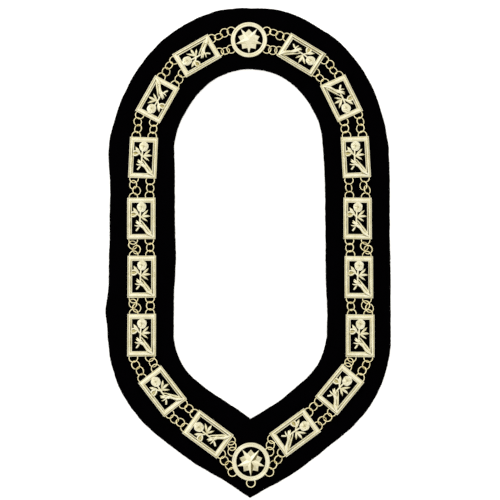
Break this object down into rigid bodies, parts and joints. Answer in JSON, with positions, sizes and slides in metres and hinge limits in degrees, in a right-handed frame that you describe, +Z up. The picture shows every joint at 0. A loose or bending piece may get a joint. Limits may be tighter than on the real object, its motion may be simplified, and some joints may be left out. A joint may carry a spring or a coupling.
{
  "type": "chain of office",
  "caption": "Ceremonial collar laid flat: openwork plaques and star medallions joined by double strands of jump rings on a velvet band with a rounded neck and a pointed front.",
  "frame": {"origin": "middle of the collar's outline, on the surface that it lies on", "axes": "+Y runs from the front point to the back of the neck, +X to the right as seen from above, +Z up"},
  "size_m": [0.2594, 0.4546, 0.0085],
  "materials": {
    "black_velvet": "deep black velvet with a short pile",
    "gold_plate": "pale gold plate on cast metal, polished on the high parts"
  },
  "bodies": {
    "root": {"velvet_backing": "black_velvet", "medallion_back": "gold_plate", "medallion_front": "gold_plate", "jewel_ring": "gold_plate", "plaque_left_1": "gold_plate", "plaque_left_2": "gold_plate", "plaque_left_3": "gold_plate", "plaque_left_4": "gold_plate", "plaque_left_5": "gold_plate", "plaque_left_6": "gold_plate", "plaque_left_7": "gold_plate", "plaque_left_8": "gold_plate", "plaque_right_1": "gold_plate", "plaque_right_2": "gold_plate", "plaque_right_3": "gold_plate", "plaque_right_4": "gold_plate", "plaque_right_5": "gold_plate", "plaque_right_6": "gold_plate", "plaque_right_7": "gold_plate", "plaque_right_8": "gold_plate", "rings_left_outer_1": "gold_plate", "rings_left_outer_2": "gold_plate", "rings_left_outer_3": "gold_plate", "rings_left_outer_4": "gold_plate", "rings_left_outer_5": "gold_plate", "rings_left_outer_6": "gold_plate", "rings_left_outer_7": "gold_plate", "rings_left_outer_8": "gold_plate", "rings_left_outer_9": "gold_plate", "rings_left_inner_1": "gold_plate", "rings_left_inner_2": "gold_plate", "rings_left_inner_3": "gold_plate", "rings_left_inner_4": "gold_plate", "rings_left_inner_5": "gold_plate", "rings_left_inner_6": "gold_plate", "rings_left_inner_7": "gold_plate", "rings_left_inner_8": "gold_plate", "rings_left_inner_9": "gold_plate", "rings_right_outer_1": "gold_plate", "rings_right_outer_2": "gold_plate", "rings_right_outer_3": "gold_plate", "rings_right_outer_4": "gold_plate", "rings_right_outer_5": "gold_plate", "rings_right_outer_6": "gold_plate", "rings_right_outer_7": "gold_plate", "rings_right_outer_8": "gold_plate", "rings_right_outer_9": "gold_plate", "rings_right_inner_1": "gold_plate", "rings_right_inner_2": "gold_plate", "rings_right_inner_3": "gold_plate", "rings_right_inner_4": "gold_plate", "rings_right_inner_5": "gold_plate", "rings_right_inner_6": "gold_plate", "rings_right_inner_7": "gold_plate", "rings_right_inner_8": "gold_plate", "rings_right_inner_9": "gold_plate"}
  },
  "joints": []
}
